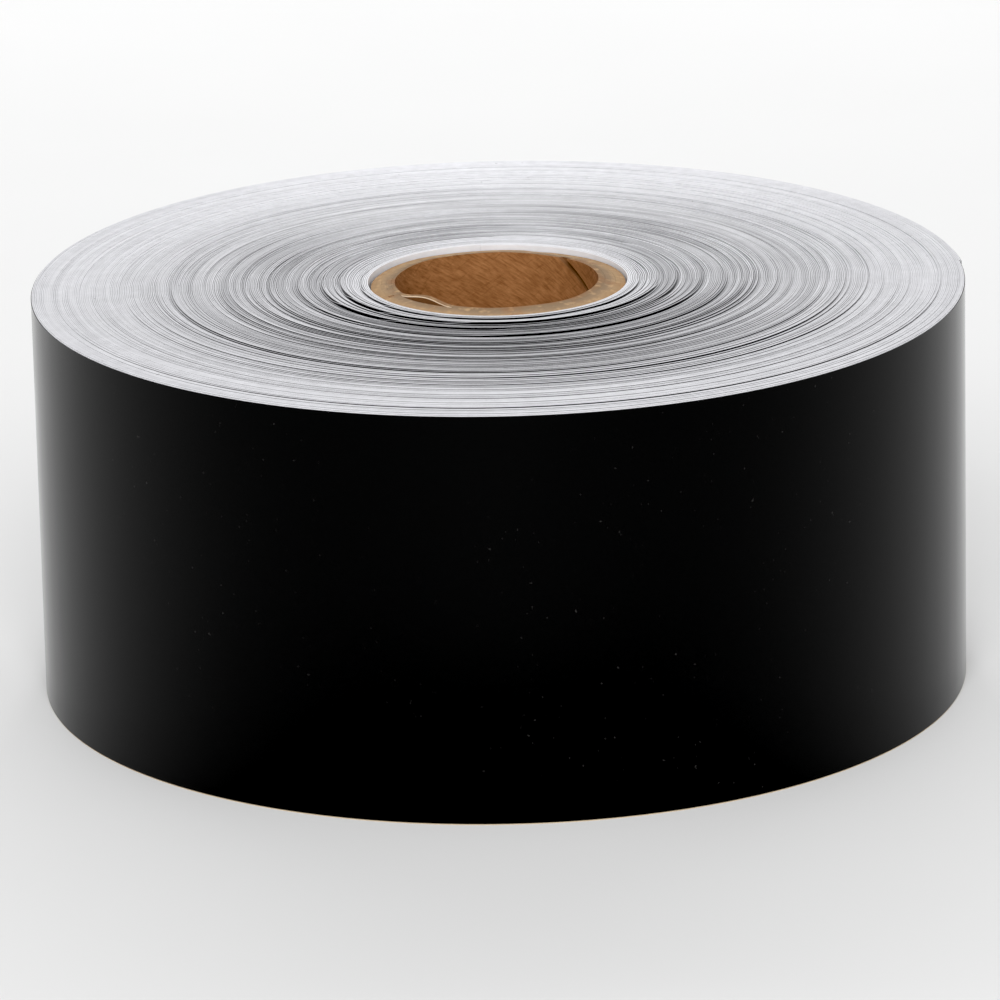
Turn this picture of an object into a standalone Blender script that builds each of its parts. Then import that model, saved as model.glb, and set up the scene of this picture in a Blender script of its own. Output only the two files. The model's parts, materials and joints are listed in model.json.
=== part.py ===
"""A roll of self-adhesive sign vinyl, standing on one end face.

A long web of three layers, release liner inside, adhesive, and black vinyl film outside, is wound
round a spiral-wound paper core. The web is one spiral: each turn adds one web pitch to the radius.
The first and the last turns are modelled layer by layer, the turns between them as one solid with
the spiral's own outline. The last 70 degrees of the outermost turn are the free end, which lifts off
the roll in four links. The film over most of the last link is a flap that peels off the liner.

Units are metres. +Z is the roll's axis, and the origin is the middle of the end face it stands on.
Seen from above, the web runs inwards anticlockwise from its free end.
"""

import math
from collections import namedtuple

import bmesh
import bpy

MM = 0.001

# The roll
ROLL_WIDTH = 50.8 * MM
ROLL_RADIUS = 58.0 * MM
WEB_PITCH = 0.214 * MM
FREE_END_ANGLE = 5.0
INNER_END_ANGLE = 97.5
WHOLE_TURNS = 195

# The paper core: plies of one strip width, wound as a helix with an open butt seam
CORE_BORE_RADIUS = 12.7 * MM
PLY_COUNT = 5
PLY_PITCH = 0.635 * MM
GLUE_GAP = 0.06 * MM
SEAM_GAP = 0.3 * MM
SEAM_TOP_ANGLE = 52.5
SEAM_STAGGER = 75.0
SEAM_COLUMNS = 50

# The layers of the web: how far each begins from the web's inner face, how thick it is, and how
# far its two edges stand back from the liner's
Layer = namedtuple("Layer", "offset thickness setback")
LINER = Layer(0.0, 0.120 * MM, 0.0)
ADHESIVE = Layer(0.128 * MM, 0.020 * MM, 0.3 * MM)
FILM = Layer(0.154 * MM, 0.054 * MM, 0.3 * MM)
LAYERS = {"liner": LINER, "adhesive": ADHESIVE, "film": FILM}

# The strip that holds the web's inner end to the core
TAPE_RADIUS = CORE_BORE_RADIUS + PLY_COUNT * PLY_PITCH - 0.03 * MM
TAPE_THICKNESS = 0.13 * MM
TAPE_ARC = 52.5
TAPE_SETBACK = 1.5 * MM

# The free end: its links in order from the roll outwards, and the flap of film on the last one
LINK_ARCS = (15.0, 15.0, 15.0, 25.0)
TAIL_ARC = sum(LINK_ARCS)
FLAP_ARC = 20.0
END_GAP = 0.05 * MM
WOUND_GAP = 0.02 * MM
INNER_TURNS = 3

# How finely round shapes are divided, in degrees
OUTER_STEP = 5.0
INNER_STEP = 7.5

TURN = 360.0
WINDING = WHOLE_TURNS * TURN + INNER_END_ANGLE - FREE_END_ANGLE

KRAFT_BOARD = (0.36, 0.19, 0.085)
EDGE_BOARD = (0.42, 0.28, 0.18)
TAPE_CREAM = (0.62, 0.55, 0.42)
LINER_WHITE = (0.72, 0.72, 0.75)
ADHESIVE_GREY = (0.50, 0.51, 0.52)
VINYL_BLACK = (0.006, 0.006, 0.006)


def clear_scene():
    for existing in list(bpy.data.objects):
        bpy.data.objects.remove(existing, do_unlink=True)


def make_material(name, colour, roughness):
    material = bpy.data.materials.new(name)
    material.use_nodes = True
    shader = material.node_tree.nodes["Principled BSDF"]
    shader.inputs["Base Color"].default_value = (*colour, 1.0)
    shader.inputs["Roughness"].default_value = roughness
    shader.inputs["Metallic"].default_value = 0.0
    return material


def add_part(name, data, material):
    part = bpy.data.objects.new(name, data)
    part.data.materials.append(material)
    bpy.data.collections["sign_vinyl_roll"].objects.link(part)
    return part


def plan_point(angle, radius):
    """The point at this angle round the axis, in degrees from +X, seen from above."""
    return radius * math.cos(math.radians(angle)), radius * math.sin(math.radians(angle))


def web_radius(winding):
    """The web's inner face, this many degrees of winding in from the free end."""
    return ROLL_RADIUS - WEB_PITCH * (1.0 + winding / TURN)


def column_angles(start, stop, step):
    """The angles of a strip's columns: its two ends, and every whole step between them."""
    first = math.floor(start / step) + 1
    last = math.ceil(stop / step) - 1
    return [start, *(step * i for i in range(first, last + 1)), stop]


def standing_strip(name, columns, thickness, material):
    """A strip on edge: columns of (x, y, low z, high z) joined up, and thickened outwards."""
    surface = bmesh.new()
    feet = [surface.verts.new((x, y, low)) for x, y, low, high in columns]
    heads = [surface.verts.new((x, y, high)) for x, y, low, high in columns]
    for i in range(len(columns) - 1):
        surface.faces.new((feet[i], feet[i + 1], heads[i + 1], heads[i]))
    mesh = bpy.data.meshes.new(name)
    surface.to_mesh(mesh)
    surface.free()
    mesh.shade_smooth()
    mesh.set_sharp_from_angle(angle=math.radians(30.0))

    strip = add_part(name, mesh, material)
    solidify = strip.modifiers.new("thickness", "SOLIDIFY")
    solidify.thickness = thickness
    solidify.offset = 1.0
    return strip


def core_ply(index, material):
    """One paper strip of the core, wound as a helix and trimmed flush with both end faces."""
    radius = CORE_BORE_RADIUS + index * PLY_PITCH
    rise = ROLL_WIDTH / SEAM_COLUMNS
    lead = rise * TURN / INNER_STEP
    start = SEAM_TOP_ANGLE - SEAM_COLUMNS * INNER_STEP + index * SEAM_STAGGER
    columns = []
    for i in range(1, int((ROLL_WIDTH + lead) / rise)):
        low = max(0.0, i * rise - lead + SEAM_GAP)
        high = min(ROLL_WIDTH, i * rise)
        columns.append((*plan_point(start + i * INNER_STEP, radius), low, high))
    return standing_strip(f"core_ply_{index + 1}", columns, PLY_PITCH - GLUE_GAP, material)


def start_tape(material):
    """The adhesive strip between the core and the inner end of the liner."""
    angles = column_angles(INNER_END_ANGLE - TAPE_ARC, INNER_END_ANGLE, INNER_STEP)
    columns = [
        (*plan_point(angle, TAPE_RADIUS), TAPE_SETBACK, ROLL_WIDTH - TAPE_SETBACK) for angle in angles
    ]
    return standing_strip("start_tape", columns, TAPE_THICKNESS, material)


def web_strip(name, layer, outer_winding, inner_winding, step, material):
    """A length of one layer of the web, between two places along the winding."""
    start = FREE_END_ANGLE + outer_winding
    stop = FREE_END_ANGLE + inner_winding
    columns = []
    for angle in column_angles(start, stop, step):
        radius = web_radius(angle - FREE_END_ANGLE) + layer.offset
        columns.append((*plan_point(angle, radius), layer.setback, ROLL_WIDTH - layer.setback))
    return standing_strip(name, columns, layer.thickness, material)


def spiral_turn(spline, outer_winding, step, shift):
    """One turn of the web's inner face as a closed outline, which steps where the turn closes."""
    start = FREE_END_ANGLE + outer_winding
    angles = column_angles(start, start + TURN, step)
    spline.points.add(len(angles) - 1)
    for point, angle in zip(spline.points, angles):
        radius = web_radius(angle - FREE_END_ANGLE) + shift
        point.co = (*plan_point(angle, radius), 0.0, 1.0)
    spline.use_cyclic_u = True


def wound_turns(material):
    """All the turns between the first ones and the last one."""
    outline = bpy.data.curves.new("wound_turns", "CURVE")
    outline.dimensions = "2D"
    outline.fill_mode = "BOTH"
    outline.extrude = ROLL_WIDTH / 2
    spiral_turn(outline.splines.new("POLY"), 0.0, OUTER_STEP, -WOUND_GAP)
    innermost = WINDING - (INNER_TURNS + 1) * TURN
    spiral_turn(outline.splines.new("POLY"), innermost, INNER_STEP, 0.0)
    band = add_part("wound_turns", outline, material)
    band.location.z = ROLL_WIDTH / 2
    return band


def hinge_axis(name, winding, parent):
    """An empty on the web's outer face, where the web bends; it turns about +Z."""
    axis = bpy.data.objects.new(name, None)
    bpy.data.collections["sign_vinyl_roll"].objects.link(axis)
    radius = web_radius(winding) + FILM.offset + FILM.thickness
    axis.location = (*plan_point(FREE_END_ANGLE + winding, radius), ROLL_WIDTH / 2)
    bpy.context.view_layer.update()
    attach(axis, parent)
    return axis


def attach(piece, parent):
    """Parent the piece and leave it where it stands."""
    if parent is not None:
        bpy.context.view_layer.update()
        piece.parent = parent
        piece.matrix_parent_inverse = parent.matrix_world.inverted()


def free_end(materials):
    """The free end of the web: links hinged one to the next, and the flap of film on the last."""
    gap = math.degrees(END_GAP / ROLL_RADIUS)
    root, axis = TAIL_ARC, None
    for number, arc in enumerate(LINK_ARCS, start=1):
        axis = hinge_axis(f"tail_lift_{number}_axis", root, axis)
        last = number == len(LINK_ARCS)
        for layer_name, layer in LAYERS.items():
            tip = FLAP_ARC if last and layer_name != "liner" else root - arc
            name = f"tail_{layer_name}_{number}"
            attach(web_strip(name, layer, tip, root - gap, OUTER_STEP, materials[layer_name]), axis)
        root -= arc

    flap_axis = hinge_axis("film_peel_axis", FLAP_ARC, axis)
    for layer_name in ("adhesive", "film"):
        name = f"flap_{layer_name}"
        strip = web_strip(
            name, LAYERS[layer_name], 0.0, FLAP_ARC - gap, OUTER_STEP, materials[layer_name]
        )
        attach(strip, flap_axis)


def main():
    clear_scene()
    collection = bpy.data.collections.new("sign_vinyl_roll")
    bpy.context.scene.collection.children.link(collection)

    for index in range(PLY_COUNT):
        colour = EDGE_BOARD if index == PLY_COUNT - 1 else KRAFT_BOARD
        core_ply(index, make_material(f"core_board_{index + 1}", colour, 0.9))
    start_tape(make_material("start_tape", TAPE_CREAM, 0.6))

    materials = {
        "liner": make_material("liner_paper", LINER_WHITE, 0.55),
        "adhesive": make_material("clear_adhesive", ADHESIVE_GREY, 0.3),
        "film": make_material("black_vinyl", VINYL_BLACK, 0.35),
    }
    end_gap = math.degrees(END_GAP / ROLL_RADIUS)
    for layer_name, layer in LAYERS.items():
        material = materials[layer_name]
        name = f"inner_turns_{layer_name}"
        web_strip(name, layer, WINDING - INNER_TURNS * TURN, WINDING, INNER_STEP, material)
        name = f"outer_turn_{layer_name}"
        web_strip(name, layer, TAIL_ARC, TURN - end_gap, OUTER_STEP, material)
    wound_turns(make_material("web_edges", LINER_WHITE, 0.6))
    free_end(materials)


main()
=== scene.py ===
"""The looks of a roll of black sign vinyl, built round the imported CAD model.

The CAD model gives the sizes, the bodies and the hinges. The pieces here give the roll its real
surface: the web is wound as one true spiral of white liner and black film, a little telescoped, so
that the end faces show every turn. The core is wound from helical strips of board.
Lengths are metres. Angles are degrees anticlockwise from +X, seen from above.
"""

import json
import math

import bpy
import numpy as np
from mathutils import Matrix, Vector


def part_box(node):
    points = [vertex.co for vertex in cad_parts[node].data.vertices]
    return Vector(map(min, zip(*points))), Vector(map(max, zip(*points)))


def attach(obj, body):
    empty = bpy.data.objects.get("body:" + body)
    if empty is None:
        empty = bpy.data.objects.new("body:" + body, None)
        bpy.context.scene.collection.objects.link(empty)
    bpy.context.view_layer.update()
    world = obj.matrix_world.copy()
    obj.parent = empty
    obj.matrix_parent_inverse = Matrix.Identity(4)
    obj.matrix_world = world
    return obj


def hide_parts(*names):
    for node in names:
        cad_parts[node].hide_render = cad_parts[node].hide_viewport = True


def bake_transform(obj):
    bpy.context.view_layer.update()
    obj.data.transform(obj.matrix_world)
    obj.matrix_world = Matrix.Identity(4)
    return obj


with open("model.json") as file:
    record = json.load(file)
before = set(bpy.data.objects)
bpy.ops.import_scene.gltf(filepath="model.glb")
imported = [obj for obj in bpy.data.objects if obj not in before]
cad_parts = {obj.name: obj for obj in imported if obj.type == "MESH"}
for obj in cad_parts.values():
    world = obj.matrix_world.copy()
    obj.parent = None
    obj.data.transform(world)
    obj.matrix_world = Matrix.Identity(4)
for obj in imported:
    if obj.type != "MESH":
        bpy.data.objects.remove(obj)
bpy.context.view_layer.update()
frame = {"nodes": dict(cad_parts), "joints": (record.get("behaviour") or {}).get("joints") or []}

MM = 0.001
TURN = 360.0

# The web, as it is wound in the CAD model. Each layer's two sides are measured from the liner's
# inner face. The adhesive and the film end this far from the liner's foot and top edge.
WEB_PITCH = 0.214 * MM
LAYERS = {
    "liner": (0.0, 0.120 * MM),
    "adhesive": (0.128 * MM, 0.148 * MM),
    "film": (0.154 * MM, 0.208 * MM),
}
FILM_FOOT = 0.16 * MM
FILM_SETBACK = 0.1 * MM

# The core: plies of one strip width, wound as a helix. A strip climbs by its lead in each turn. Its
# seam reaches the top at one angle in the bore's ply, and further round in each ply after that.
PLY_COUNT = 5
CORE_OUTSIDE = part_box("core_ply_5")[1].x
PLY_PITCH = (CORE_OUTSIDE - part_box("core_ply_1")[1].x) / (PLY_COUNT - 1)
BORE_RADIUS = 12.7 * MM
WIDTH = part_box("tail_liner_1")[1].z
PLY_LEAD = WIDTH * 48 / 50
SEAM_TOP_ANGLE = 52.5
SEAM_STAGGER = 75.0
BORE_SEAM_GAP = 0.8 * MM
HIDDEN_SEAM_GAP = 0.03 * MM
GLUE_GAP = 0.015 * MM

HINGES = {joint["name"]: Vector(joint["pos_m"]) for joint in frame["joints"]}


def angle_of(point):
    """Where this point lies round the axis."""
    return math.degrees(math.atan2(point.y, point.x)) % TURN


# Windings are degrees along the web, inwards from its free end.
FLAP_WINDING = 20.0
FREE_END_ANGLE = angle_of(HINGES["film_peel"]) - FLAP_WINDING
OUTSIDE = HINGES["film_peel"].xy.length + WEB_PITCH * (1 + FLAP_WINDING / TURN) - LAYERS["film"][1]
LIFT_WINDINGS = [angle_of(HINGES[f"tail_lift_{i}"]) - FREE_END_ANGLE for i in range(1, 5)]
WHOLE_TURNS = 195
INNER_END_ANGLE = 97.5
LAST_WINDING = WHOLE_TURNS * TURN + INNER_END_ANGLE - FREE_END_ANGLE

# The wound turns: the two sides of their layers, packed closer than the layers of the CAD model,
# and the windings of each zone
PACKED_LINER = (0.0, 0.145 * MM)
PACKED_FILM = (0.1455 * MM, 0.2125 * MM)
ZONES = {
    "outer": (TURN, 66 * TURN),
    "middle": (66 * TURN, 131 * TURN),
    "inner": (131 * TURN, LAST_WINDING),
}

# How finely the strips are divided along the web, in degrees
WOUND_STEP = 3.0
OUTER_STEP = 1.5
LINK_STEP = 0.5
FLAP_STEP = 0.25

# A length for each lift hinge, which the free end's strips don't use.
LIFT_BENDS = (14.9 * MM, 14.9 * MM, 14.9 * MM, 4.8 * MM)

# Where the wound turns step back down: radius, height just inside it, height just outside it (mm)
WEB_STEPS = (
    (15.9, 0.20, 0.20),
    (17.1, 0.28, 0.02),
    (19.6, 0.45, 0.06),
    (21.9, 0.42, 0.10),
    (24.9, 0.40, 0.25),
    (27.6, 0.29, 0.23),
    (30.3, 0.32, 0.25),
    (34.3, 0.40, 0.25),
    (42.2, 0.29, 0.22),
    (44.1, 0.24, 0.19),
    (49.4, 0.17, 0.13),
    (54.1, 0.09, 0.07),
    (55.9, 0.045, 0.035),
    (57.8, 0.01, 0.0),
)
STEP_WIDTH = 0.35
SHARP_STEP_WIDTH = 0.07
SHARP_STEPS_END = 25
STEPS_OFF_CENTRE = (-0.2, 0.4)

# The wound turns' edges, as radii and the value at each (mm): how far they swell over a few turns,
# how far they differ from turn to turn, how far the film's stand back, and how far each edge rises
# outwards
SWELL = ((16, 26, 38, 45, 54), (0.02, 0.055, 0.045, 0.025, 0.012))
JITTER = ((16, 18, 24, 28, 34, 44, 57), (0.02, 0.06, 0.075, 0.065, 0.055, 0.05, 0.032))
WOUND_SETBACK = ((36, 44, 50), (0.004, 0.014, 0.02))
EDGE_SLANT = ((16, 30, 36, 40, 44, 50, 56), (0.020, 0.018, 0.016, 0.012, 0.010, 0.006, 0.0))

# The core's end face (mm): the plies step down from the bore outwards, and slope down outwards
BORE_PLY_PROUD = 0.18
PLY_STEP_DOWN = 0.12
PLY_SLOPE = 0.12
BORE_OFF_CENTRE = 0.2

# Worn places on the core's end face: the bore ply's lifted edge and the outer ply's chip. Each has
# its middle and half its length (degrees), and how far it moves in or up and how deep it goes (mm).
LIFT_MIDDLE, LIFT_HALF = 224, 23
LIFT_IN = 0.65
LIFT_UP = 0.55
CHIP_MIDDLE, CHIP_HALF = 71, 6
CHIP_IN = 0.45
WORN_DEPTH = 5

# The camera: how far off it stands (m), how it is turned (degrees) and its lens (mm)
VIEW_DISTANCE = 0.9636
VIEW_ELEVATION = 17.238
VIEW_PAN = -0.0215
VIEW_TILT = -0.173
VIEW_ROLL = -1.235
FOCAL_LENGTH = 277.6

# Light below this level shows as pure black.
BLACK_LEVEL = 0.0130


# Meshes


def smooth_noise(places, seed):
    """Seeded random numbers, which vary smoothly from one whole place to the next."""
    whole = np.floor(places).astype(int)
    values = np.random.default_rng(seed).standard_normal(whole.max() + 2)
    share = places - whole
    share = share * share * (3 - 2 * share)
    return values[whole] * (1 - share) + values[whole + 1] * share


def sweep(name, angles, radii, heights, material, edge_material=None):
    """A long strip on edge. Each row of radii and heights is its section at one angle.

    A section of four corners starts at its inner foot. Its foot and its top take the edge material.
    """
    turn = np.radians(angles)[:, None]
    corners = np.stack([radii * np.cos(turn), radii * np.sin(turn), heights], axis=2)
    count = radii.shape[1]
    first = count * np.arange(len(angles) - 1)
    quads = []
    for a in range(count):
        b = (a + 1) % count
        quads += np.stack([first + a, first + count + a, first + count + b, first + b], axis=1).tolist()
    last = count * (len(angles) - 1)
    caps = [list(range(count)), [last + i for i in reversed(range(count))]]
    mesh = bpy.data.meshes.new(name)
    mesh.from_pydata(corners.reshape(-1, 3).tolist(), [], quads + caps)
    mesh.shade_smooth()
    mesh.set_sharp_from_angle(angle=math.radians(35.0))
    mesh.materials.append(material)
    if edge_material:
        mesh.materials.append(edge_material)
        sides = np.repeat([1, 0, 1, 0], len(first)).tolist()
        mesh.polygons.foreach_set("material_index", sides + [0, 0])
    piece = bpy.data.objects.new(name, mesh)
    bpy.context.scene.collection.objects.link(piece)
    return piece


def web_radius(windings):
    """How far the web's inner face is from the axis."""
    return OUTSIDE - WEB_PITCH * (1 + windings / TURN)


def web_strip(name, layer, windings, low, high, material, edge_material=None, slant=0.0):
    """A length of one layer of the web between two heights. Its top edge rises outwards by the slant."""
    radius = web_radius(windings)
    inner, outer = radius + layer[0], radius + layer[1]
    low, high = low + 0 * radius, high + 0 * radius
    radii = np.stack([inner, outer, outer, inner], axis=1)
    inner_high, outer_high = (high + slant * side / WEB_PITCH for side in layer)
    heights = np.stack([low, low, outer_high, inner_high], axis=1)
    return sweep(name, FREE_END_ANGLE + windings, radii, heights, material, edge_material)


def columns(start, stop, step):
    """Places from start to stop on whole steps of the circle, with both ends."""
    first = math.floor((FREE_END_ANGLE + start) / step) + 1
    end = (FREE_END_ANGLE + stop) / step - 1e-6
    return np.concatenate([[start], np.arange(first, end) * step - FREE_END_ANGLE, [stop]])


def step_profile():
    """The radii and heights (mm) at both sides of each step, which is sharper near the core."""
    points = []
    for radius, height_inside, height_outside in WEB_STEPS:
        width = SHARP_STEP_WIDTH if radius < SHARP_STEPS_END else STEP_WIDTH
        points += [(radius, height_inside), (radius + width, height_outside)]
    return zip(*points)


def telescoping(windings):
    """How far the web has slid up out of the outer turns' plane."""
    radius = web_radius(windings) / MM
    angle = np.radians(FREE_END_ANGLE + windings)
    across, away = STEPS_OFF_CENTRE
    profile = np.interp(radius + across * np.cos(angle) + away * np.sin(angle), *step_profile())
    turns = windings / TURN
    swell = np.interp(radius, *SWELL)
    jitter = np.interp(radius, *JITTER)
    profile = profile + swell * smooth_noise(turns / 2.2, seed=3)
    each_turn = 0.8 * smooth_noise(turns, seed=4) + 0.5 * smooth_noise(turns * 2.7, seed=5)
    return np.maximum(0.0, profile + jitter * each_turn) * MM


def wound_turns(liner, film, film_edge):
    """Every turn but the outermost: one spiral of liner and one of film, in three zones each."""
    for zone, (start, stop) in ZONES.items():
        windings = columns(start, stop, WOUND_STEP)
        foot = telescoping(windings)
        top = WIDTH + foot
        radius = web_radius(windings) / MM
        setback = np.interp(radius, *WOUND_SETBACK) * MM
        slant = np.interp(radius, *EDGE_SLANT) * MM
        name = f"liner_{zone}_turns"
        white = web_strip(name, PACKED_LINER, windings, foot, top, liner, slant=slant)
        name = f"film_{zone}_turns"
        low, high = foot + setback, top - setback
        black = web_strip(name, PACKED_FILM, windings, low, high, film, film_edge, slant)
        for piece in (white, black):
            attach(piece, "roll")
            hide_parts("wound_turns")
        if zone == "inner":
            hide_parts("inner_turns_liner")
            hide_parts("inner_turns_film", "inner_turns_adhesive")


# The outermost turn and the free end


def layer_strip(name, layer, windings, materials):
    """A length of one layer as a sheet. The film's and the adhesive's edges stand back."""
    low, high = (0.0, WIDTH) if layer == "liner" else (FILM_FOOT, WIDTH - FILM_SETBACK)
    strip = web_strip(f"{layer}_{name}", LAYERS[layer], windings, low, high, materials[layer])
    return strip


def outer_turn(materials):
    """The outermost turn up to the free end. It overlaps the wound turns a little, to leave no gap."""
    overlap = 0.1
    windings = columns(LIFT_WINDINGS[0], TURN + overlap, OUTER_STEP)
    for layer in LAYERS:
        strip = layer_strip("outer_turn", layer, windings, materials)
        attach(strip, "roll")
        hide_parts(f"outer_turn_{layer}")


def free_end(materials):
    """The free end, one strip of each layer from each lift hinge to the next, and the flap of film."""
    tips = LIFT_WINDINGS[1:] + [0.0]
    for i, (root, tip, length) in enumerate(zip(LIFT_WINDINGS, tips, LIFT_BENDS)):
        for layer in LAYERS:
            peels = i == 3 and layer != "liner"
            windings = columns(FLAP_WINDING if peels else tip, root, LINK_STEP)
            strip = layer_strip(f"tail_{i + 1}", layer, windings, materials)
            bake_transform(strip)
            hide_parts(f"tail_{layer}_{i + 1}")

    windings = columns(0.0, FLAP_WINDING, FLAP_STEP)
    for layer in ("adhesive", "film"):
        strip = layer_strip("flap", layer, windings, materials)
        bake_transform(strip)
        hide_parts(f"flap_{layer}")


# The core


def ply_edges(number):
    """A ply's strip: the angles of its columns, and the heights of its two long edges there.

    The strip runs to a point at both ends, and each point is cut a little short.
    """
    seam_top = SEAM_TOP_ANGLE + SEAM_STAGGER * (number - 1)
    seam_gap = BORE_SEAM_GAP if number == 1 else HIDDEN_SEAM_GAP
    climb = PLY_LEAD / TURN
    cut_short, count = 0.3, 300
    below = np.linspace(seam_top - WIDTH / climb + cut_short, seam_top, count)
    above = np.linspace(seam_top, seam_top + TURN - seam_gap / climb - cut_short, count)
    angles = np.concatenate([below, above[1:]])
    low = np.clip((angles - seam_top - TURN) * climb + WIDTH + seam_gap, 0, WIDTH)
    high = np.clip((angles - seam_top) * climb + WIDTH, 0, WIDTH)
    return angles, low, high


def ply_wear(number, angles):
    """How far the bore ply's edge is lifted and the outer ply's is chipped, from 0 to 1."""
    lift, chip = 0.0 * angles, 0.0 * angles
    if number == 1:
        lift = 0.5 + 0.5 * np.cos(np.pi * np.clip((angles % TURN - LIFT_MIDDLE) / LIFT_HALF, -1, 1))
    if number == PLY_COUNT:
        chip = np.clip(1 - np.abs(angles % TURN - CHIP_MIDDLE) / CHIP_HALF, 0, 1)
    return lift, chip


def ply_section(number, angles, low, high, at_top, lift, chip):
    """The strip's section at each angle: up its outer side, and back down its inner side."""
    turn = np.radians(angles)
    wave = 0.05 * MM * (np.sin(3 * turn + 1.0) + 0.7 * np.sin(7 * turn + 4.0))
    rows = np.array([0.0, 0.5, 0.8, 0.9, 0.96, 0.995, 1.0])
    sides = []
    for slope in (-PLY_SLOPE, 0.0):
        proud = BORE_PLY_PROUD * MM - PLY_STEP_DOWN * MM * (number - 1) + slope * MM
        top = high + np.where(at_top, wave + proud + LIFT_UP * MM * lift, 0)
        sides.append(low[:, None] + (top - low)[:, None] * rows)
    outer_level, inner_level = sides
    worn = np.clip(1 - (WIDTH - inner_level) / (WORN_DEPTH * MM), 0, 1) ** 2
    inner = CORE_OUTSIDE - PLY_PITCH * (PLY_COUNT + 1 - number)
    outer = inner + PLY_PITCH - GLUE_GAP
    off_centre = BORE_OFF_CENTRE * MM * np.cos(turn)[:, None] if number == 1 else 0.0
    outer_side = outer - (LIFT_IN * lift + CHIP_IN * chip)[:, None] * worn * MM
    inner_side = inner - LIFT_IN * lift[:, None] * worn * MM - off_centre
    radii = np.concatenate([outer_side, inner_side[:, ::-1]], axis=1)
    heights = np.concatenate([outer_level, inner_level[:, ::-1]], axis=1)
    return radii, heights


def ply_materials(number, low, at_top, lift):
    """The material of each face: the rows of faces up the outer side, over the top, down the inner
    side and under the foot, and then the strip's two ends."""
    board, edge, seam, torn_highlight = range(4)
    top_row, foot_row = 6, 13
    indices = np.full((foot_row + 1, len(low) - 1), board)
    indices[top_row - 1] = edge
    indices[[top_row, foot_row]] = edge
    ends = edge
    if number == 1:
        at_foot = low[:-1] < 0.01 * MM
        # The bore ply's outer side, its ends and its edges at the seam take the dark board: painted
        # shade in the seam gap and under the lifted edge.
        indices[: top_row - 1] = seam
        # The lifted top takes the pale torn board: torn fibres with a painted highlight.
        indices[top_row - 1, at_top[:-1] & (lift[:-1] > 0.05)] = torn_highlight
        indices[top_row] = np.where(at_top[:-1], edge, seam)
        indices[foot_row] = np.where(at_foot, edge, seam)
        ends = seam
    return indices.ravel().tolist() + [ends, ends]


def core_ply(number, board, edge, seam, torn_highlight):
    """One helical strip of board, from end face to end face, with a butt seam."""
    angles, low, high = ply_edges(number)
    at_top = high > WIDTH - 0.01 * MM
    lift, chip = ply_wear(number, angles)
    radii, heights = ply_section(number, angles, low, high, at_top, lift, chip)
    ply = sweep(f"core_strip_{number}", angles, radii, heights, board)
    # The seam board is dark with painted shade, and the torn board is pale torn fibre with a painted
    # highlight.
    for material in (edge, seam, torn_highlight):
        ply.data.materials.append(material)
    ply.data.polygons.foreach_set("material_index", ply_materials(number, low, at_top, lift))
    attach(ply, "roll")
    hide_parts(f"core_ply_{number}")


# Materials


def add_node(tree, kind, inputs=None, **settings):
    """A shader node. An input is a plain value or another node's output."""
    node = tree.nodes.new(kind)
    for name, value in settings.items():
        setattr(node, name, value)
    for socket, value in (inputs or {}).items():
        if isinstance(value, bpy.types.NodeSocket):
            tree.links.new(value, node.inputs[socket])
        else:
            node.inputs[socket].default_value = value
    return node


def new_material(name, **values):
    """A material with a Principled shader, its node tree and the place on the object in metres."""
    material = bpy.data.materials.new(name)
    material.use_nodes = True
    tree = material.node_tree
    shader = tree.nodes["Principled BSDF"]
    for socket, value in values.items():
        shader.inputs[socket.replace("_", " ")].default_value = value
    place = add_node(tree, "ShaderNodeTexCoord").outputs["Object"]
    return material, tree, shader, place


def noise(tree, place, size, detail=2.0, **inputs):
    """Noise whose blots are about this many millimetres across."""
    values = {"Vector": place, "Scale": 1 / (size * MM), "Detail": detail, **inputs}
    return add_node(tree, "ShaderNodeTexNoise", values).outputs["Fac"]


def times(tree, first, second):
    """The product of two numbers."""
    return add_node(tree, "ShaderNodeMath", {0: first, 1: second}, operation="MULTIPLY").outputs[0]


def radius_of(tree, place):
    """How far this place is from the roll's axis."""
    inputs = {0: place, 1: (1.0, 1.0, 0.0)}
    flat = add_node(tree, "ShaderNodeVectorMath", inputs, operation="MULTIPLY").outputs[0]
    return add_node(tree, "ShaderNodeVectorMath", {0: flat}, operation="LENGTH").outputs["Value"]


def ring_noise(tree, place, period):
    """Noise that changes within this many millimetres from turn to turn, and slowly along a turn."""
    turns = times(tree, radius_of(tree, place), 1 / (period * MM))
    slowly = 1 / (25 * MM)
    inputs = {0: place, 1: (slowly, slowly, 0.0)}
    along = add_node(tree, "ShaderNodeVectorMath", inputs, operation="MULTIPLY").outputs[0]
    inputs = {"Vector": along, "W": turns, "Scale": 1.0, "Detail": 2.0}
    return add_node(tree, "ShaderNodeTexNoise", inputs, noise_dimensions="4D").outputs["Fac"]


def ramp(tree, factor, *stops):
    """A colour ramp with stops of (place, colour)."""
    node = add_node(tree, "ShaderNodeValToRGB", {"Fac": factor})
    elements = node.color_ramp.elements
    while len(elements) < len(stops):
        elements.new(0.5)
    for element, (place, colour) in zip(elements, stops):
        element.position = place
        element.color = (*colour, 1.0)
    return node.outputs["Color"]


def mix(tree, factor, first, second):
    """The first colour where the factor is 0, and the second where it is 1."""
    node = add_node(tree, "ShaderNodeMix", data_type="RGBA")
    for socket, value in ((0, factor), (6, first), (7, second)):
        if isinstance(value, bpy.types.NodeSocket):
            tree.links.new(value, node.inputs[socket])
        else:
            node.inputs[socket].default_value = value if socket == 0 else (*value, 1.0)
    return node.outputs[2]


def map_range(tree, value, from_low, from_high, to_low, to_high):
    """The value moved from one range to another, and held at the new range's ends."""
    inputs = {
        "Value": value,
        "From Min": from_low,
        "From Max": from_high,
        "To Min": to_low,
        "To Max": to_high,
    }
    return add_node(tree, "ShaderNodeMapRange", inputs).outputs["Result"]


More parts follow.
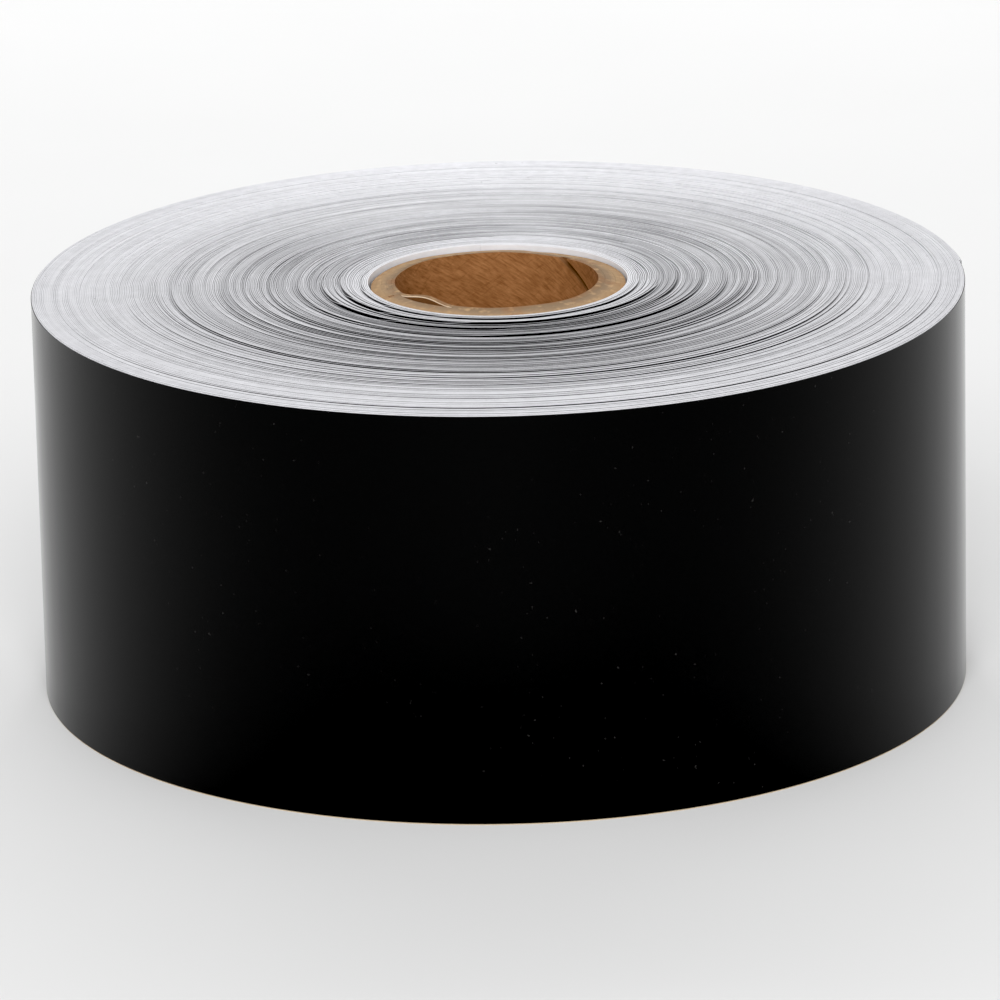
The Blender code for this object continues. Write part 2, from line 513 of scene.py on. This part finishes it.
def bump(tree, shader, height, distance, strength=1.0):
    """Relief on the shader, up to this many millimetres deep."""
    inputs = {"Height": height, "Distance": distance * MM, "Strength": strength}
    node = add_node(tree, "ShaderNodeBump", inputs)
    tree.links.new(node.outputs["Normal"], shader.inputs["Normal"])


def liner_material(name):
    """White silicone-coated paper: faintly blue, mottled, with a few specks."""
    material, tree, shader, place = new_material(name, Specular_IOR_Level=0.3)
    mottle = noise(tree, place, 1.4, detail=4.0)
    colour = ramp(tree, mottle, (0.3, (0.63, 0.63, 0.655)), (0.7, (0.725, 0.725, 0.755)))
    specks = map_range(tree, noise(tree, place, 0.8, detail=2.0), 0.735, 0.80, 0.0, 0.7)
    colour = mix(tree, specks, colour, (0.15, 0.14, 0.15))
    tree.links.new(colour, shader.inputs["Base Color"])
    rough = map_range(tree, mottle, 0.0, 1.0, 0.5, 0.8)
    tree.links.new(rough, shader.inputs["Roughness"])
    bump(tree, shader, noise(tree, place, 0.2), 0.02, 0.3)
    return material, tree, shader, place, colour


def sheet_liner_material():
    """The liner as a sheet: yellowed in a fine line along its foot."""
    material, tree, shader, place, colour = liner_material("liner_white")
    axes = add_node(tree, "ShaderNodeSeparateXYZ", {"Vector": place}).outputs
    foot = map_range(tree, axes["Z"], 0.2 * MM, 0.6 * MM, 1.0, 0.0)
    colour = mix(tree, foot, colour, (0.56, 0.45, 0.31))
    tree.links.new(colour, shader.inputs["Base Color"])
    return material


def wound_liner_material():
    """The liner's slit edges in the wound turns, with painted shade: some turns darker than others, most
    of all near the core.
    """
    material, tree, shader, place, colour = liner_material("liner_edges")
    # Painted shade: some turns darker than others.
    shade = map_range(tree, ring_noise(tree, place, 0.5), 0.3, 0.6, 0.14, 0.0)
    colour = mix(tree, shade, colour, (0.10, 0.10, 0.11))
    # More painted shade in rings towards the core, outside the first turns.
    radius = radius_of(tree, place)
    painted_ring_shade = map_range(tree, radius, 22 * MM, 50 * MM, 0.36, 0.0)
    beyond_first_turns = map_range(tree, radius, 17 * MM, 21 * MM, 0.0, 1.0)
    rings = map_range(tree, ring_noise(tree, place, 0.8), 0.36, 0.64, 2.1, 0.0)
    painted_ring_shade = times(tree, times(tree, painted_ring_shade, beyond_first_turns), rings)
    colour = mix(tree, painted_ring_shade, colour, (0.20, 0.20, 0.215))
    first_turns = map_range(tree, beyond_first_turns, 0.0, 1.0, 0.4, 0.0)
    colour = mix(tree, first_turns, colour, (0.82, 0.82, 0.86))
    tree.links.new(colour, shader.inputs["Base Color"])
    return material


def vinyl_material():
    """Black film: satin, with faint waviness and a little pale dust."""
    material, tree, shader, place = new_material("vinyl_film", IOR=1.25)
    dust = map_range(tree, noise(tree, place, 0.5, detail=1.0), 0.752, 0.82, 0.0, 0.08)
    patches = map_range(tree, noise(tree, place, 22.0, detail=1.0), 0.46, 0.60, 0.1, 1.0)
    colour = mix(tree, times(tree, dust, patches), (0.002, 0.002, 0.002), (0.30, 0.29, 0.28))
    tree.links.new(colour, shader.inputs["Base Color"])
    rough = map_range(tree, noise(tree, place, 9.0, detail=3.0), 0.2, 0.8, 0.10, 0.15)
    tree.links.new(rough, shader.inputs["Roughness"])
    bump(tree, shader, noise(tree, place, 14.0), 0.15, 0.15)
    return material


def film_edge_material():
    """The film's slit edges, dulled by paper dust and adhesive."""
    material, tree, shader, place = new_material("film_edge", Roughness=0.8, Specular_IOR_Level=0.2)
    rings = ring_noise(tree, place, 0.7)
    clean = ramp(tree, rings, (0.38, (0.01, 0.01, 0.01)), (0.62, (0.36, 0.36, 0.37)))
    dusty = ramp(tree, rings, (0.35, (0.36, 0.36, 0.38)), (0.60, (0.62, 0.62, 0.64)))
    dust = map_range(tree, radius_of(tree, place), 30 * MM, 52 * MM, 0.0, 1.0)
    colour = mix(tree, dust, clean, dusty)
    tree.links.new(colour, shader.inputs["Base Color"])
    bump(tree, shader, noise(tree, place, 0.2), 0.02, 0.3)
    return material


def adhesive_material():
    """The clear adhesive coat on the back of the film."""
    material, tree, shader, place = new_material("adhesive_coat", IOR=1.47)
    haze = noise(tree, place, 2.0, detail=3.0)
    colour = ramp(tree, haze, (0.3, (0.055, 0.056, 0.058)), (0.7, (0.07, 0.071, 0.073)))
    tree.links.new(colour, shader.inputs["Base Color"])
    rough = map_range(tree, haze, 0.0, 1.0, 0.2, 0.4)
    tree.links.new(rough, shader.inputs["Roughness"])
    bump(tree, shader, noise(tree, place, 0.5), 0.02, 0.4)
    return material


def board_edge_material():
    """The board's cut edges on the end faces: greyer near the bore, tan towards the outside."""
    material, tree, shader, place = new_material("board_edge", Specular_IOR_Level=0.2)
    inputs = {0: noise(tree, place, 3.0, detail=5.0), 1: 1.6 * MM, 2: radius_of(tree, place)}
    ring = add_node(tree, "ShaderNodeMath", inputs, operation="MULTIPLY_ADD").outputs["Value"]
    ring = map_range(tree, ring, 13.4 * MM, 16.8 * MM, 0.0, 1.0)
    colour = ramp(
        tree,
        ring,
        (0.0, (0.25, 0.145, 0.075)),
        (0.2, (0.24, 0.165, 0.10)),
        (0.4, (0.295, 0.20, 0.12)),
        (0.6, (0.385, 0.255, 0.14)),
        (1.0, (0.36, 0.22, 0.11)),
    )
    fibres = noise(tree, place, 0.5, detail=5.0, Roughness=0.7)
    scuffs = map_range(tree, fibres, 0.35, 0.65, 0.25, 0.0)
    colour = mix(tree, scuffs, colour, (0.20, 0.13, 0.08))
    flecks = map_range(tree, noise(tree, place, 1.1, detail=4.0), 0.54, 0.72, 0.0, 0.55)
    colour = mix(tree, flecks, colour, (0.58, 0.38, 0.20))
    rubbed = map_range(tree, noise(tree, place, 5.0, detail=3.0), 0.56, 0.68, 0.0, 0.55)
    colour = mix(tree, rubbed, colour, (0.27, 0.12, 0.05))
    tree.links.new(colour, shader.inputs["Base Color"])
    rough = map_range(tree, fibres, 0.0, 1.0, 0.95, 0.75)
    tree.links.new(rough, shader.inputs["Roughness"])
    bump(tree, shader, fibres, 0.08, 0.6)
    return material


def unrolled(tree, place, tilt, stretch):
    """The bore's wall laid flat, with lengths along the tilted strip drawn out."""
    axes = add_node(tree, "ShaderNodeSeparateXYZ", {"Vector": place}).outputs
    angle = add_node(tree, "ShaderNodeMath", {0: axes["Y"], 1: axes["X"]}, operation="ARCTAN2")
    along = times(tree, angle.outputs[0], BORE_RADIUS)
    flat = add_node(tree, "ShaderNodeCombineXYZ", {"X": along, "Y": axes["Z"]}).outputs[0]
    inputs = {"Vector": flat, "Rotation": (0, 0, math.radians(tilt)), "Scale": (stretch, 1, 1)}
    return add_node(tree, "ShaderNodeMapping", inputs, vector_type="TEXTURE").outputs[0]


def board_material(name, dark, light):
    """Kraft board: fibres along the strip and across it, mottled, rough, with darker scuffs."""
    material, tree, shader, place = new_material(name, Specular_IOR_Level=0.2)
    fibres = noise(tree, unrolled(tree, place, 31.0, 5.0), 0.35, detail=5.0, Roughness=0.7)
    colour = ramp(tree, fibres, (0.24, dark), (0.76, light))
    crossed = noise(tree, unrolled(tree, place, -38.0, 9.0), 0.4, detail=2.0)
    scuffs = map_range(tree, crossed, 0.58, 0.72, 0.0, 0.45)
    colour = mix(tree, scuffs, colour, dark)
    blots = map_range(tree, noise(tree, place, 4.0, detail=4.0), 0.45, 0.7, 0.0, 0.5)
    colour = mix(tree, blots, colour, dark)
    tree.links.new(colour, shader.inputs["Base Color"])
    rough = map_range(tree, fibres, 0.0, 1.0, 0.95, 0.75)
    tree.links.new(rough, shader.inputs["Roughness"])
    bump(tree, shader, fibres, 0.08, 0.6)
    return material


# The room


def make_floor():
    """A plain pale floor, 16 m square."""
    mesh = bpy.data.meshes.new("floor")
    half = 8.0
    corners = [(-half, -half, 0), (half, -half, 0), (half, half, 0), (-half, half, 0)]
    mesh.from_pydata(corners, [], [(0, 1, 2, 3)])
    floor = bpy.data.objects.new("floor", mesh)
    bpy.context.scene.collection.objects.link(floor)
    material, tree, shader, place = new_material("pale_floor", Roughness=0.7, Specular_IOR_Level=0.2)
    tone = noise(tree, place, 60.0)
    colour = ramp(tree, tone, (0.2, (0.77, 0.77, 0.77)), (0.8, (0.785, 0.785, 0.785)))
    tree.links.new(colour, shader.inputs["Base Color"])
    mesh.materials.append(material)


def add_softbox(name, place, target, size, energy, spread=180.0):
    """A rectangular lamp of this power in watts, which the camera doesn't see."""
    softbox = bpy.data.lights.new(name, "AREA")
    softbox.shape = "RECTANGLE"
    softbox.size, softbox.size_y = size
    softbox.energy = energy
    softbox.spread = math.radians(spread)
    lamp = bpy.data.objects.new(name, softbox)
    lamp.visible_camera = False
    lamp.location = place
    lamp.rotation_euler = (Vector(target) - lamp.location).to_track_quat("-Z", "Y").to_euler()
    bpy.context.scene.collection.objects.link(lamp)


def make_light():
    """Soft studio light: softboxes above the camera and over the floor behind, and a narrow lamp
    that lifts the far side of the end face."""
    add_softbox("front_softbox", (-0.05, -1.35, 1.05), (0, 0, 0), size=(0.7, 0.8), energy=17.0)
    add_softbox("back_softbox", (0.0, 0.95, 0.7), (0, 0.8, 0), size=(1.6, 0.5), energy=8.2)
    place, target = (0.0, 0.25, 0.3), (0, 0.02, 0)
    add_softbox("far_side_lamp", place, target, size=(0.06, 0.04), energy=0.006, spread=24.0)


def make_room():
    """The pale room: even low down, and higher up bright in front and darker behind."""
    horizon = 0.92
    world = bpy.data.worlds.new("pale_room")
    world.use_nodes = True
    tree = world.node_tree
    direction = add_node(tree, "ShaderNodeTexCoord").outputs["Generated"]
    axes = add_node(tree, "ShaderNodeSeparateXYZ", {"Vector": direction}).outputs
    sky = map_range(tree, axes["Y"], -0.9, 0.5, 1.08, 0.27)
    above = map_range(tree, axes["Z"], 0.05, 0.3, 0.0, 1.0)
    inputs = {0: above, 2: horizon, 3: sky}
    strength = add_node(tree, "ShaderNodeMix", inputs, data_type="FLOAT").outputs["Result"]
    background = tree.nodes["Background"]
    background.inputs["Color"].default_value = (1.0, 1.0, 1.0, 1.0)
    tree.links.new(strength, background.inputs["Strength"])
    bpy.context.scene.world = world


def set_tones():
    """Plain tones, with the blacks pulled down."""
    view = bpy.context.scene.view_settings
    view.view_transform = "Standard"
    view.use_curve_mapping = True
    view.curve_mapping.black_level = (BLACK_LEVEL,) * 3
    view.curve_mapping.update()


def make_camera():
    """A camera for a product photograph: far off, with a long lens, a little above the roll."""
    elevation = math.radians(VIEW_ELEVATION)
    place = Vector((0, -math.cos(elevation), math.sin(elevation))) * VIEW_DISTANCE
    ahead = -place.normalized()
    right = ahead.cross(Vector((0, 0, 1))).normalized()
    up = right.cross(ahead)
    ahead = ahead + math.tan(math.radians(VIEW_PAN)) * right + math.tan(math.radians(VIEW_TILT)) * up
    ahead.normalize()
    right = ahead.cross(up).normalized()
    up = right.cross(ahead)
    roll = Matrix.Rotation(-math.radians(VIEW_ROLL), 3, ahead)
    axes = Matrix((roll @ right, roll @ up, -ahead)).transposed()

    lens = bpy.data.cameras.new("camera")
    lens.lens = FOCAL_LENGTH
    lens.clip_start, lens.clip_end = 0.1, 30.0
    camera = bpy.data.objects.new("camera", lens)
    camera.matrix_world = Matrix.Translation(place + Vector((0, 0, WIDTH / 2))) @ axes.to_4x4()
    bpy.context.scene.collection.objects.link(camera)
    bpy.context.scene.camera = camera


def main():
    """The web, the core, and the studio round them."""
    materials = {
        "liner": sheet_liner_material(),
        "adhesive": adhesive_material(),
        "film": vinyl_material(),
    }
    wound_turns(wound_liner_material(), materials["film"], film_edge_material())
    outer_turn(materials)
    free_end(materials)
    inner_board = board_material("inner_board", (0.165, 0.062, 0.018), (0.47, 0.225, 0.094))
    outer_board = board_material("outer_board", (0.30, 0.21, 0.135), (0.48, 0.35, 0.245))
    # Painted shade: this dark board darkens the bore ply's seam gap and the line under its lifted edge.
    painted_shade_board = board_material("painted_shade_board", (0.12, 0.05, 0.017), (0.22, 0.10, 0.04))
    # Torn fibres and a painted highlight: this pale board brightens the bore ply's lifted edge.
    torn_highlight_board = board_material("torn_highlight_board", (0.78, 0.60, 0.43), (0.95, 0.77, 0.58))
    edge = board_edge_material()
    for number in range(1, PLY_COUNT + 1):
        # The second ply is all dark board: painted shade seen through the bore ply's seam gap.
        board = {1: inner_board, 2: painted_shade_board}.get(number, outer_board)
        core_ply(number, board, edge, painted_shade_board, torn_highlight_board)
    tape = board_material("tape_paper", (0.55, 0.47, 0.34), (0.66, 0.58, 0.45))
    frame["nodes"]["start_tape"].material_slots[0].material = tape
    make_floor()
    make_light()
    make_room()
    make_camera()
    set_tones()


main()
